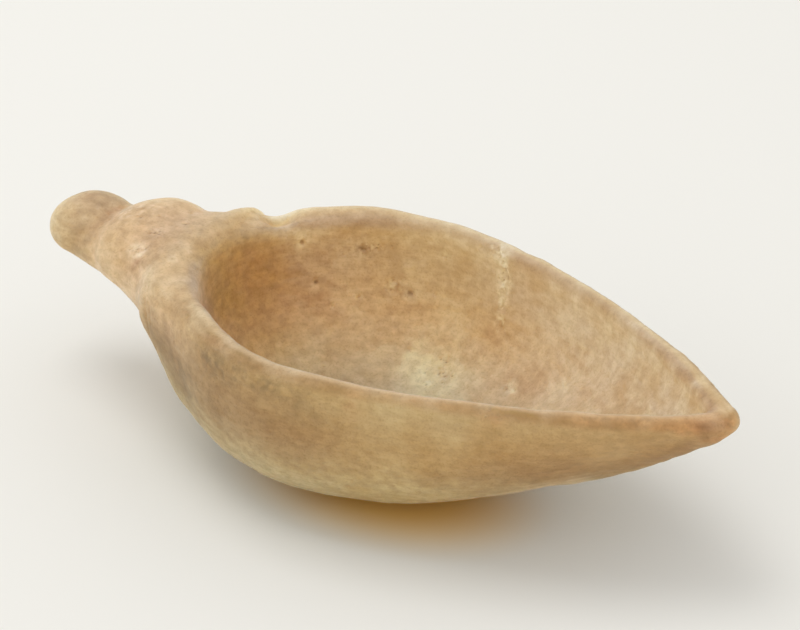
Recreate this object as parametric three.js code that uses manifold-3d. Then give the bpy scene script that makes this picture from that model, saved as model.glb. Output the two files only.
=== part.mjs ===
// A leaf-shaped dish carved from one block of pale calcite stone.
// The bowl is widest near its round end and runs out to a blunt point at the other. It has a rounded
// lip, a rounded underside with a small worn flat to stand on, and a short handle at the round end:
// a bar that widens towards the bowl, carved as three lobes.
//
// Millimetres. +X runs from the handle to the pointed end, +Z is up, and the stone is very nearly the
// same on both sides of the XZ plane. The origin is at the centre of the bounding box, at its foot.

import * as THREE from "three";
import { mergeVertices } from "three/addons/utils/BufferGeometryUtils.js";
import Module from "manifold-3d";

const wasm = await Module();
wasm.setup();

// Driving dimensions of the bowl, seen from above
const TIP_X = 65.8; // the pointed end
const TIP_RADIUS = 3;
const TIP_HALF_ANGLE = THREE.MathUtils.degToRad(41); // between each side and the long axis, at the point
const WIDEST_X = -2.7;
const HALF_WIDTH = 29.2;
const BACK_X = -41.3; // the bowl's round end
const OUTER_EASE = { atTip: 0.26, atSide: 0.17 }; // how soon each side leaves the straight, in shares of its run

// The hollow, seen from above
const HOLLOW_TIP_X = 60.2;
const HOLLOW_TIP_RADIUS = 1.2;
const HOLLOW_HALF_WIDTH = 25.4;
const HOLLOW_BACK_X = -32.1;
const HOLLOW_EASE = { atTip: 0.32, atSide: 0.21 };

// Heights above the table
const RIM_HEIGHT = 30;
const LIP_ROUND = 1.5; // how far down the rounding of the lip reaches
const TIP_ROUND = 2.2; // the same outside the pointed end
const BACK_ROUND = 9.5; // and outside the round end, where the lip slopes off to the handle
const FLOOR_HEIGHT = 5; // stone under the deepest place of the hollow
const WORN_FLAT = 0.8; // how much of the rounded underside is worn away to a flat

// The three lobes of the handle, from its end to the bowl. Each is an egg lying along X, and its
// cross-section is a round for squareness 2 and a rounded box for more.
const KNOB = { x: -59.5, toEnd: 6.3, toBowl: 8, halfWidth: 7.4, halfHeight: 4.8, z: 25.4, squareness: 2.1 };
const MIDDLE = { x: -46, toEnd: 8.5, toBowl: 10.9, halfWidth: 11.5, halfHeight: 6.3, z: 25.5, squareness: 2.1 };
const COLLAR = { x: -35.4, toEnd: 4.7, toBowl: 5.6, halfWidth: 17, halfHeight: 8, z: 23.5, squareness: 2.8 };
const LOBE_CLEARANCE = 0.6; // how far inside the wall of the hollow the lobes stop

// The core that the lobes stand out from: a bar that widens towards the bowl, at three places along it
const CORE = [
  { x: -60, halfWidth: 6.5, halfHeight: 4, z: 24.4 },
  { x: -49, halfWidth: 9.6, halfHeight: 5, z: 24.3 },
  { x: -38, halfWidth: 14.3, halfHeight: 7.7, z: 23.7 },
];
const CORE_SQUARENESS = 2.1;

// Fineness of the mesh
const ROUND_STEPS = 84; // round the bowl
const WALL_STEPS = 12; // up each wall
const LIP_STEPS = 6; // over the lip
const LOBE_STEPS = 28;

// An outline seen from above: an arc at the point, one curve along each side, one round the back.
function leafOutline({ tipX, tipRadius, halfWidth, backX, ease }) {
  const a = TIP_HALF_ANGLE;
  const arcCentre = tipX - tipRadius;
  const leaveX = arcCentre + tipRadius * Math.sin(a);
  const leaveY = tipRadius * Math.cos(a);
  const sideRun = leaveX - WIDEST_X;
  const backRun = WIDEST_X - backX;
  const side = new THREE.CubicBezierCurve(
    new THREE.Vector2(leaveX, leaveY),
    new THREE.Vector2(leaveX - ease.atTip * sideRun, leaveY + ease.atTip * sideRun * Math.tan(a)),
    new THREE.Vector2(WIDEST_X + ease.atSide * sideRun, halfWidth),
    new THREE.Vector2(WIDEST_X, halfWidth),
  );
  const back = new THREE.CubicBezierCurve(
    new THREE.Vector2(WIDEST_X, halfWidth),
    new THREE.Vector2(WIDEST_X - 0.34 * backRun, halfWidth),
    new THREE.Vector2(backX, 0.57 * halfWidth),
    new THREE.Vector2(backX, 0),
  );
  return { arcCentre, tipRadius, side, back };
}

// How far a point is round the bowl: 0 at the pointed end, 0.5 at the middle of the round end.
// Three stretches share each half, so that points on different outlines stay side by side.
const ARC_SHARE = 0.12;
const SIDE_SHARE = 0.58;

function outlinePoint(outline, turn) {
  const mirrored = turn > 0.5;
  const u = 2 * (mirrored ? 1 - turn : turn);
  let point;
  if (u < ARC_SHARE) {
    const angle = (u / ARC_SHARE) * (Math.PI / 2 - TIP_HALF_ANGLE);
    point = new THREE.Vector2(outline.arcCentre, 0).add(
      new THREE.Vector2(Math.cos(angle), Math.sin(angle)).multiplyScalar(outline.tipRadius),
    );
  } else if (u < ARC_SHARE + SIDE_SHARE) {
    point = outline.side.getPointAt((u - ARC_SHARE) / SIDE_SHARE);
  } else {
    point = outline.back.getPointAt(Math.min(1, (u - ARC_SHARE - SIDE_SHARE) / (1 - ARC_SHARE - SIDE_SHARE)));
  }
  return mirrored ? point.setY(-point.y) : point;
}

const OUTER_EDGE = leafOutline({
  tipX: TIP_X,
  tipRadius: TIP_RADIUS,
  halfWidth: HALF_WIDTH,
  backX: BACK_X,
  ease: OUTER_EASE,
});
const HOLLOW_EDGE = leafOutline({
  tipX: HOLLOW_TIP_X,
  tipRadius: HOLLOW_TIP_RADIUS,
  halfWidth: HOLLOW_HALF_WIDTH,
  backX: HOLLOW_BACK_X,
  ease: HOLLOW_EASE,
});

// How full the wall is at each place round the bowl. At the pointed end the keel rises in a nearly
// straight line, at the sides the wall is round and steep, and at the back it slopes like a funnel.
function fullness(edge, atTip, atSide, atBack) {
  const { lerp, smoothstep, radToDeg } = THREE.MathUtils;
  const bearing = radToDeg(Math.atan2(Math.abs(edge.y), edge.x - WIDEST_X));
  return lerp(lerp(atTip, atSide, smoothstep(bearing, 0, 57)), atBack, smoothstep(bearing, 90, 180));
}

// The height, as a share of the wall's, at a share of the way out from the middle to the edge.
function wallRise(out, reach, lift) {
  return 1 - Math.pow(Math.max(0, 1 - Math.pow(out, reach)), 1 / lift);
}

function wallRun(rise, reach, lift) {
  return Math.pow(1 - Math.pow(1 - rise, lift), 1 / reach);
}

// How far down the rounding of the lip reaches outside: least at the sides, most at the round end.
function outerRound(turn) {
  const { lerp, smoothstep } = THREE.MathUtils;
  const u = 2 * (turn > 0.5 ? 1 - turn : turn);
  return lerp(lerp(TIP_ROUND, LIP_ROUND, smoothstep(u, 0.05, 0.3)), BACK_ROUND, smoothstep(u, 0.58, 0.92));
}

// A point of the outer wall: climb is 0 at the edge of the worn flat and 1 under the lip.
function outerWallPoint(turn, climb) {
  const edge = outlinePoint(OUTER_EDGE, turn);
  const reach = fullness(edge, 2.02, 2.1, 1.6);
  const lift = fullness(edge, 1.03, 3.55, 2.35);
  const wallHeight = RIM_HEIGHT - outerRound(turn) + WORN_FLAT;
  const flatRun = wallRun(WORN_FLAT / wallHeight, reach, lift);
  const out = THREE.MathUtils.lerp(flatRun, 1, Math.sin((climb * Math.PI) / 2));
  const height = wallHeight * wallRise(out, reach, lift) - WORN_FLAT;
  return new THREE.Vector3(WIDEST_X + (edge.x - WIDEST_X) * out, edge.y * out, Math.max(0, height));
}

// A point of the hollow's wall: climb is 0 at the deepest place and 1 under the lip.
function hollowWallPoint(turn, climb) {
  const edge = outlinePoint(HOLLOW_EDGE, turn);
  const reach = fullness(edge, 1.7, 2.1, 2.4);
  const lift = fullness(edge, 1.2, 2.8, 2.6);
  const out = Math.sin((climb * Math.PI) / 2);
  const height = FLOOR_HEIGHT + (RIM_HEIGHT - LIP_ROUND - FLOOR_HEIGHT) * wallRise(out, reach, lift);
  return new THREE.Vector3(WIDEST_X + (edge.x - WIDEST_X) * out, edge.y * out, height);
}

// A point of the rounded lip: over is 0 at the outer wall and 1 at the hollow's wall.
function lipPoint(turn, over) {
  const outer = outlinePoint(OUTER_EDGE, turn);
  const inner = outlinePoint(HOLLOW_EDGE, turn);
  const angle = over * Math.PI;
  const across = (1 - Math.cos(angle)) / 2;
  const up = Math.pow(Math.sin(angle), 0.75);
  const at = outer.lerp(inner, across);
  const reachesDown = over < 0.5 ? outerRound(turn) : LIP_ROUND;
  return new THREE.Vector3(at.x, at.y, RIM_HEIGHT - reachesDown * (1 - up));
}

// A turned shape with each ring of it pushed out to the leaf's shape. The first and the last ring
// are single points on the axis.
function pushedLathe(rings) {
  const last = rings.length - 1;
  const profile = rings.map((_, i) => new THREE.Vector2(i === 0 || i === last ? 0 : 1, i));
  const geometry = new THREE.LatheGeometry(profile, ROUND_STEPS);
  const position = geometry.getAttribute("position");
  for (let step = 0; step <= ROUND_STEPS; step++) {
    const turn = (step % ROUND_STEPS) / ROUND_STEPS;
    rings.forEach((ring, i) => {
      const p = ring(turn);
      position.setXYZ(step * rings.length + i, p.x, p.y, p.z);
    });
  }
  return geometry;
}

// The bowl, from the middle of the worn flat over the lip to the middle of the hollow.
function makeBowl() {
  const rings = [() => new THREE.Vector3(WIDEST_X, 0, 0)];
  for (let i = 0; i <= WALL_STEPS; i++) rings.push((turn) => outerWallPoint(turn, i / WALL_STEPS));
  for (let i = 1; i < LIP_STEPS; i++) rings.push((turn) => lipPoint(turn, i / LIP_STEPS));
  for (let i = WALL_STEPS; i > 0; i--) rings.push((turn) => hollowWallPoint(turn, i / WALL_STEPS));
  rings.push(() => new THREE.Vector3(WIDEST_X, 0, FLOOR_HEIGHT));
  return pushedLathe(rings);
}

// The room inside the bowl, a little larger than the hollow, drawn up through the lip.
function makeHollowCutter() {
  const rings = [() => new THREE.Vector3(WIDEST_X, 0, FLOOR_HEIGHT)];
  for (let i = 1; i <= WALL_STEPS; i++) rings.push((turn) => hollowWallPoint(turn, i / WALL_STEPS));
  rings.push((turn) => hollowWallPoint(turn, 1).setZ(2 * RIM_HEIGHT));
  rings.push(() => new THREE.Vector3(WIDEST_X, 0, 2 * RIM_HEIGHT));
  const geometry = pushedLathe(rings);
  const grow = 1 + LOBE_CLEARANCE / (WIDEST_X - HOLLOW_BACK_X);
  geometry.translate(-WIDEST_X, 0, -RIM_HEIGHT);
  geometry.scale(grow, grow, grow);
  geometry.translate(WIDEST_X, 0, RIM_HEIGHT);
  return geometry;
}

// How much a round section swells in a direction, to be a rounded box.
function sectionSwell(across, up, squareness) {
  const sum = Math.pow(Math.abs(across), squareness) + Math.pow(Math.abs(up), squareness);
  return sum > 1e-12 ? Math.hypot(across, up) / Math.pow(sum, 1 / squareness) : 1;
}

// One lobe of the handle: a ball drawn out into an egg.
function makeLobe({ x, toEnd, toBowl, halfWidth, halfHeight, z, squareness }) {
  const geometry = new THREE.SphereGeometry(1, LOBE_STEPS, LOBE_STEPS / 2);
  geometry.rotateZ(Math.PI / 2);
  const position = geometry.getAttribute("position");
  for (let i = 0; i < position.count; i++) {
    const along = position.getX(i);
    const across = position.getY(i);
    const up = position.getZ(i);
    const swell = sectionSwell(across, up, squareness);
    position.setXYZ(
      i,
      x + along * (along < 0 ? toEnd : toBowl),
      across * swell * halfWidth,
      z + up * swell * halfHeight,
    );
  }
  return geometry;
}

// The handle's core: a turned bar laid along X, each of its rings pushed out to the section there.
function makeCore() {
  const last = CORE.length - 1;
  const rings = CORE.map((_, i) => new THREE.Vector2(1, i));
  const geometry = new THREE.LatheGeometry([new THREE.Vector2(0, 0), ...rings, new THREE.Vector2(0, last)], LOBE_STEPS);
  geometry.rotateZ(-Math.PI / 2);
  const position = geometry.getAttribute("position");
  for (let i = 0; i < position.count; i++) {
    const section = CORE[Math.round(position.getX(i))];
    const across = position.getY(i);
    const up = position.getZ(i);
    const swell = sectionSwell(across, up, CORE_SQUARENESS);
    position.setXYZ(i, section.x, across * swell * section.halfWidth, section.z + up * swell * section.halfHeight);
  }
  return geometry;
}

// A closed three.js geometry as a solid that can be joined and cut.
function toSolid(geometry) {
  const bare = geometry.clone();
  bare.deleteAttribute("normal");
  bare.deleteAttribute("uv");
  const merged = mergeVertices(bare, 1e-4);
  const corners = merged.index.array;
  const faces = [];
  for (let i = 0; i < corners.length; i += 3) {
    const [a, b, c] = [corners[i], corners[i + 1], corners[i + 2]];
    if (a !== b && b !== c && c !== a) faces.push(a, b, c);
  }
  const mesh = new wasm.Mesh({
    numProp: 3,
    vertProperties: Float32Array.from(merged.getAttribute("position").array),
    triVerts: Uint32Array.from(faces),
  });
  return new wasm.Manifold(mesh);
}

function toGeometry(solid) {
  const mesh = solid.getMesh();
  const geometry = new THREE.BufferGeometry();
  geometry.setAttribute("position", new THREE.BufferAttribute(Float32Array.from(mesh.vertProperties), 3));
  geometry.setIndex(new THREE.BufferAttribute(Uint32Array.from(mesh.triVerts), 1));
  geometry.computeVertexNormals();
  return geometry;
}

function makeDish() {
  const lobes = [KNOB, MIDDLE, COLLAR].map((lobe) => toSolid(makeLobe(lobe)));
  const joined = lobes.reduce((handle, lobe) => handle.add(lobe), toSolid(makeCore()));
  const handle = joined.subtract(toSolid(makeHollowCutter()));
  return toSolid(makeBowl()).add(handle);
}

const stone = new THREE.MeshStandardMaterial({ color: 0xc9a878, roughness: 0.55, metalness: 0 });
const dish = new THREE.Mesh(toGeometry(makeDish()), stone);
dish.name = "stone_dish";

const part = new THREE.Group();
part.name = "dish";
part.add(dish);

export default part;
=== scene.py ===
"""A leaf-shaped dish with a short lobed handle, carved from one block of pale calcite stone.

The bowl, its lip and the three lobes of the handle are one skin of stone, uneven, pitted and worn. The
shapes are worked out in millimetres, in the frame's axes (+X to the pointed end, +Z up), and set down
in metres.
"""

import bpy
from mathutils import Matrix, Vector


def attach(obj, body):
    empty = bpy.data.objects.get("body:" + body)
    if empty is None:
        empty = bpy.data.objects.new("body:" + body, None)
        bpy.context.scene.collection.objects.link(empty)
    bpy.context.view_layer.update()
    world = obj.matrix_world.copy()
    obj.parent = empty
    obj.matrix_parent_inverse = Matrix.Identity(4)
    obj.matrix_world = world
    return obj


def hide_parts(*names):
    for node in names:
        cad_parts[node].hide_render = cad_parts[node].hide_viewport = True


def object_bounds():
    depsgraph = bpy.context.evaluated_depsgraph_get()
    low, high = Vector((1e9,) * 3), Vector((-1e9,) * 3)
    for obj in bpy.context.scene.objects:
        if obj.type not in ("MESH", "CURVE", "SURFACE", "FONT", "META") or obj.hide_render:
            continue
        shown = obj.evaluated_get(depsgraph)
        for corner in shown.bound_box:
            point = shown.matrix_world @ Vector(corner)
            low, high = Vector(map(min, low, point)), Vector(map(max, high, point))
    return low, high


bl_info = {
    "name": "Stone dish",
    "version": (1, 0, 0),
    "blender": (4, 5, 0),
    "location": "View3D > Sidebar > Stone dish",
    "description": "Carves a leaf-shaped calcite dish with a lobed handle and sets a pale stage for it",
    "category": "Add Mesh",
}

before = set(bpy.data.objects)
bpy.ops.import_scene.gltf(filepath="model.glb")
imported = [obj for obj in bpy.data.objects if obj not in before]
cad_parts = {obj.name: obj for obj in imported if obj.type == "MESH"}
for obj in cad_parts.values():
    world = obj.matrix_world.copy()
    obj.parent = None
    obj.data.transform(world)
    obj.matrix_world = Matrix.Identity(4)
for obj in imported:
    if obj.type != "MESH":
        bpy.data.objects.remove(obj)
CAD_LOW, CAD_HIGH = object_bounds()

import math

import bpy
import numpy as np
from bpy.props import FloatProperty, FloatVectorProperty, IntProperty, PointerProperty
from bpy.types import Operator, Panel, PropertyGroup
from mathutils import Matrix, Vector

MM = 0.001


# What a user may change

class BowlSizes(PropertyGroup):
    """Sizes of the bowl, its lip and its hollow"""

    tip_x: FloatProperty(
        name="Pointed end", description="Where the pointed end lies along the dish",
        default=CAD_HIGH.x, unit="LENGTH", precision=4)
    half_width: FloatProperty(
        name="Half width", description="From the long axis to the widest place of the lip",
        default=CAD_HIGH.y, unit="LENGTH", precision=4)
    widest_x: FloatProperty(
        name="Widest place", description="Where along the dish the bowl is widest",
        default=-2.7 * MM, unit="LENGTH", precision=4)
    back_x: FloatProperty(
        name="Round end", description="Where the bowl's round end lies along the dish",
        default=-41.3 * MM, unit="LENGTH", precision=4)
    rim_height: FloatProperty(
        name="Rim height", description="From the table to the top of the lip",
        default=30 * MM, unit="LENGTH", precision=4)
    floor_height: FloatProperty(
        name="Floor thickness", description="Stone under the deepest place of the hollow",
        default=5 * MM, unit="LENGTH", precision=4)
    hollow_tip_x: FloatProperty(
        name="Hollow's point", description="Where the hollow ends towards the pointed end",
        default=60.4 * MM, unit="LENGTH", precision=4)
    hollow_half_width: FloatProperty(
        name="Hollow's half width", description="From the long axis to the widest place of the hollow",
        default=25.4 * MM, unit="LENGTH", precision=4)
    hollow_back_x: FloatProperty(
        name="Hollow's round end", description="Where the hollow ends towards the handle",
        default=-32.1 * MM, unit="LENGTH", precision=4)


class HandleSizes(PropertyGroup):
    """Places and sizes of the three lobes of the handle"""

    knob_place: FloatVectorProperty(
        name="Knob", description="Middle of the end lobe", default=(-59.5 * MM, 0, 25.4 * MM),
        subtype="XYZ", unit="LENGTH", precision=4)
    knob_size: FloatVectorProperty(
        name="Knob size", description="Reach to the end, reach to the bowl, half width, half height",
        size=4, default=(6.6 * MM, 8 * MM, 7.4 * MM, 4.8 * MM), unit="LENGTH", precision=4)
    middle_place: FloatVectorProperty(
        name="Middle lobe", description="Middle of the middle lobe", default=(-46 * MM, 0, 25.5 * MM),
        subtype="XYZ", unit="LENGTH", precision=4)
    middle_size: FloatVectorProperty(
        name="Middle lobe size", description="Reach to the end, reach to the bowl, half width, half height",
        size=4, default=(8.5 * MM, 10.9 * MM, 11.5 * MM, 6.3 * MM), unit="LENGTH", precision=4)
    collar_place: FloatVectorProperty(
        name="Collar", description="Middle of the lobe against the bowl",
        default=(-35.4 * MM, 0, 23.5 * MM), subtype="XYZ", unit="LENGTH", precision=4)
    collar_size: FloatVectorProperty(
        name="Collar size", description="Reach to the end, reach to the bowl, half width, half height",
        size=4, default=(4.7 * MM, 3 * MM, 17 * MM, 8 * MM), unit="LENGTH", precision=4)


class StoneFinish(PropertyGroup):
    """Colours and wear of the stone, and the shade and glow painted on it"""

    cream: FloatVectorProperty(
        name="Cream", description="The stone's pale clouds", subtype="COLOR", size=4, min=0, max=1,
        default=(0.60, 0.475, 0.325, 1))
    honey: FloatVectorProperty(
        name="Honey", description="The stone's darker clouds", subtype="COLOR", size=4, min=0, max=1,
        default=(0.50, 0.365, 0.215, 1))
    # Painted shade at the hollow's round end: the stone's honey tone deepened to amber where that end lies
    # in shade
    amber_shade: FloatVectorProperty(
        name="Amber", description="Deep places at the hollow's round end", subtype="COLOR", size=4,
        min=0, max=1, default=(0.50, 0.345, 0.115, 1))
    olive: FloatVectorProperty(
        name="Olive", description="Mottles on the outside", subtype="COLOR", size=4,
        min=0, max=1, default=(0.20, 0.155, 0.085, 1))
    rust: FloatVectorProperty(
        name="Rust", description="Stains on the lip and at the pointed end", subtype="COLOR", size=4,
        min=0, max=1, default=(0.35, 0.19, 0.095, 1))
    # Painted glow: the bottom of the hollow lit up, as by light coming through the stone
    bright: FloatVectorProperty(
        name="Bright", description="Thin stone at the bottom of the hollow", subtype="COLOR", size=4,
        min=0, max=1, default=(0.90, 0.74, 0.50, 1))
    chalk: FloatVectorProperty(
        name="Chalk", description="Crumbled places and worn edges", subtype="COLOR", size=4,
        min=0, max=1, default=(0.74, 0.63, 0.49, 1))
    dirt: FloatVectorProperty(
        name="Dirt", description="Dark pits and cracks", subtype="COLOR", size=4,
        min=0, max=1, default=(0.13, 0.085, 0.05, 1))
    fineness: FloatProperty(
        name="Fineness", description="Side of the small squares of the stone's skin",
        default=0.3 * MM, min=0.2 * MM, unit="LENGTH", precision=5)
    seed: IntProperty(name="Seed", description="Which random unevenness the stone gets", default=7)


class StageSettings(PropertyGroup):
    """Floor, lamps and camera"""

    floor_colour: FloatVectorProperty(
        name="Floor colour", description="Pale paper under and behind the dish", subtype="COLOR",
        size=4, min=0, max=1, default=(0.86, 0.855, 0.82, 1))
    glow_colour: FloatVectorProperty(
        name="Glow", description="Paper in the warm light that comes through the stone", subtype="COLOR",
        size=4, min=0, max=1, default=(0.93, 0.61, 0.19, 1))
    floor_size: FloatProperty(
        name="Floor size", description="Side of the square floor", default=6.0, unit="LENGTH")
    sky_strength: FloatProperty(
        name="Sky strength", description="Even light from all round", default=0.8, min=0)
    key_power: FloatProperty(
        name="Key lamp power", description="Power of the large soft lamp overhead", default=2.1,
        min=0, subtype="POWER")
    fill_power: FloatProperty(
        name="Fill lamp power", description="Power of the soft lamp on the camera's left", default=0.8,
        min=0, subtype="POWER")
    lens: FloatProperty(
        name="Lens", description="Focal length of the camera", default=176.5, min=1,
        subtype="DISTANCE_CAMERA")


# Small sums that the shapes share

def smooth_step(value, start, full):
    """0 up to start, 1 from full on and a smooth rise between them. Full may lie below start."""
    share = np.clip((value - start) / (full - start), 0.0, 1.0)
    return share * share * (3.0 - 2.0 * share)


def unbent_step(share):
    """A rise from 0 to 1 that starts and ends level and unbent."""
    return share ** 3 * (share * (share * 6.0 - 15.0) + 10.0)


def blend(first, second, share):
    """The first value where share is 0, the second where it is 1."""
    return first + (second - first) * share


class Unevenness:
    """Smooth noise from -1 to 1: seeded random values at the corners of cells, blended between them."""

    CELLS = 32

    def __init__(self, seed):
        draw = np.random.default_rng(seed)
        self.corners = draw.uniform(-1.0, 1.0, (self.CELLS,) * 3)
        turn = draw.normal(size=(3, 3))
        self.turn = np.linalg.qr(turn)[0]

    def at(self, points, cell):
        """The noise at points, for cells of that size in millimetres."""
        place = (points @ self.turn) / cell
        corner = np.floor(place).astype(int)
        share = unbent_step(place - corner)
        total = np.zeros(len(points))
        for step in np.ndindex(2, 2, 2):
            weight = np.prod(np.where(step, share, 1.0 - share), axis=1)
            x, y, z = ((corner + step) % self.CELLS).T
            total += weight * self.corners[x, y, z]
        return total

    def waves(self, points, sizes):
        """Noise of several sizes in one: sizes holds the height and the cell of each."""
        return sum(height * self.at(points, cell) for height, cell in sizes)

    def patches(self, points, cell, level, contrast):
        """Noise as patches from 0 to 1: level is its middle, contrast how sharply they part."""
        return np.clip(level + contrast * self.at(points, cell), 0, 1)


# The bowl

TIP_HALF_ANGLE = math.radians(41)  # between each side and the long axis, at the point
TIP_RADIUS = 3
HOLLOW_TIP_RADIUS = 1.2
OUTER_EASE = (0.26, 0.17)  # how soon each side leaves the straight at the point and at the widest place
HOLLOW_EASE = (0.32, 0.21)
BACK_EASE = 0.34  # how soon the back leaves the straight at the widest place
BACK_BREADTH = 0.57  # and how far it runs straight across at its middle, as a share of the half width
LIP_ROUND = 1.5  # how far down the rounding of the lip reaches
TIP_ROUND = 2.2  # the same outside the pointed end
BACK_ROUND = 9.5  # and outside the round end, where the lip slopes off to the handle
HOLLOW_ROUND = 2.6  # and inside
BACK_HOLLOW_ROUND = 1.5  # and inside the round end
SIDE_CREST = 0.5  # where the lip's crest lies between its two edges, as a share from the outer one
FAR_BACK_CREST = 0.36  # and round the round end, on the side of +Y
NEAR_BACK_CREST = 0.72  # and on the side of -Y, where the lip is worn down
LIP_FLATNESS = 0.75  # 1 for a lip that is an even round, less for one that is flatter on top
WORN_FLAT = 0.8  # how much of the rounded underside is worn away to a flat
ARC_SHARE = 0.12  # shares of each half of the outline: the arc at the point, the side, the back
SIDE_SHARE = 0.58

# Where one rounding of the lip gives way to the next, as shares of the way from the point to the back
TIP_TO_SIDE = (0.05, 0.3)
SIDE_TO_BACK = (0.58, 0.92)
HOLLOW_SIDE_TO_BACK = (0.62, 0.88)
CREST_SIDE_TO_BACK = (0.6, 0.86)
FAR_TO_NEAR_BACK = (0.44, 0.56)  # a share of the whole way round

# Exponents of the walls' curves at the point, at the sides and at the back. A spread says how long the
# wall stays low on its way out, and a rise how steeply it ends.
OUTER_SPREADS = (2.02, 2.1, 1.6)
OUTER_RISES = (1.03, 3.55, 2.35)
HOLLOW_SPREADS = (1.7, 2.1, 2.4)
HOLLOW_RISES = (1.2, 2.8, 2.6)
TIP_BEARINGS = (0, 57)  # degrees from the long axis over which the point's curve becomes the sides'
BACK_BEARINGS = (90, 180)  # and the sides' becomes the back's

CURVE_SAMPLES = 600
ROUND_STEPS = 520
WALL_STEPS = 70
LIP_STEPS = 18


def even_curve(*corners):
    """A cubic curve as a function of the share of its length."""
    t = np.linspace(0.0, 1.0, CURVE_SAMPLES)[:, None]
    p0, p1, p2, p3 = (np.array(corner, float) for corner in corners)
    points = (1 - t) ** 3 * p0 + 3 * (1 - t) ** 2 * t * p1 + 3 * (1 - t) * t ** 2 * p2 + t ** 3 * p3
    run = np.concatenate([[0.0], np.cumsum(np.linalg.norm(np.diff(points, axis=0), axis=1))])
    run /= run[-1]
    return lambda share: np.stack([np.interp(share, run, points[:, i]) for i in (0, 1)], axis=-1)


class LeafOutline:
    """An outline seen from above: an arc at the point, one curve along each side, one round the back."""

    def __init__(self, widest_x, tip_x, tip_radius, half_width, back_x, ease):
        slant = TIP_HALF_ANGLE
        self.tip_radius = tip_radius
        self.arc_centre = tip_x - tip_radius
        leave_x = self.arc_centre + tip_radius * math.sin(slant)
        leave_y = tip_radius * math.cos(slant)
        side_run = leave_x - widest_x
        back_run = widest_x - back_x
        self.side = even_curve(
            (leave_x, leave_y),
            (leave_x - ease[0] * side_run, leave_y + ease[0] * side_run * math.tan(slant)),
            (widest_x + ease[1] * side_run, half_width),
            (widest_x, half_width))
        self.back = even_curve(
            (widest_x, half_width),
            (widest_x - BACK_EASE * back_run, half_width),
            (back_x, BACK_BREADTH * half_width),
            (back_x, 0))

    def at(self, turn):
        """The points at these shares of the way round: 0 at the point, 0.5 at the middle of the back."""
        share = 2 * np.minimum(turn, 1 - turn)
        angle = share / ARC_SHARE * (math.pi / 2 - TIP_HALF_ANGLE)
        arc = np.stack([self.arc_centre + self.tip_radius * np.cos(angle),
                        self.tip_radius * np.sin(angle)], axis=-1)
        side = self.side(np.clip((share - ARC_SHARE) / SIDE_SHARE, 0, 1))
        back = self.back(np.clip((share - ARC_SHARE - SIDE_SHARE) / (1 - ARC_SHARE - SIDE_SHARE), 0, 1))
        on_arc = (share < ARC_SHARE)[:, None]
        on_side = (share < ARC_SHARE + SIDE_SHARE)[:, None]
        points = np.where(on_arc, arc, np.where(on_side, side, back))
        points[turn > 0.5, 1] *= -1
        return points


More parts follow.
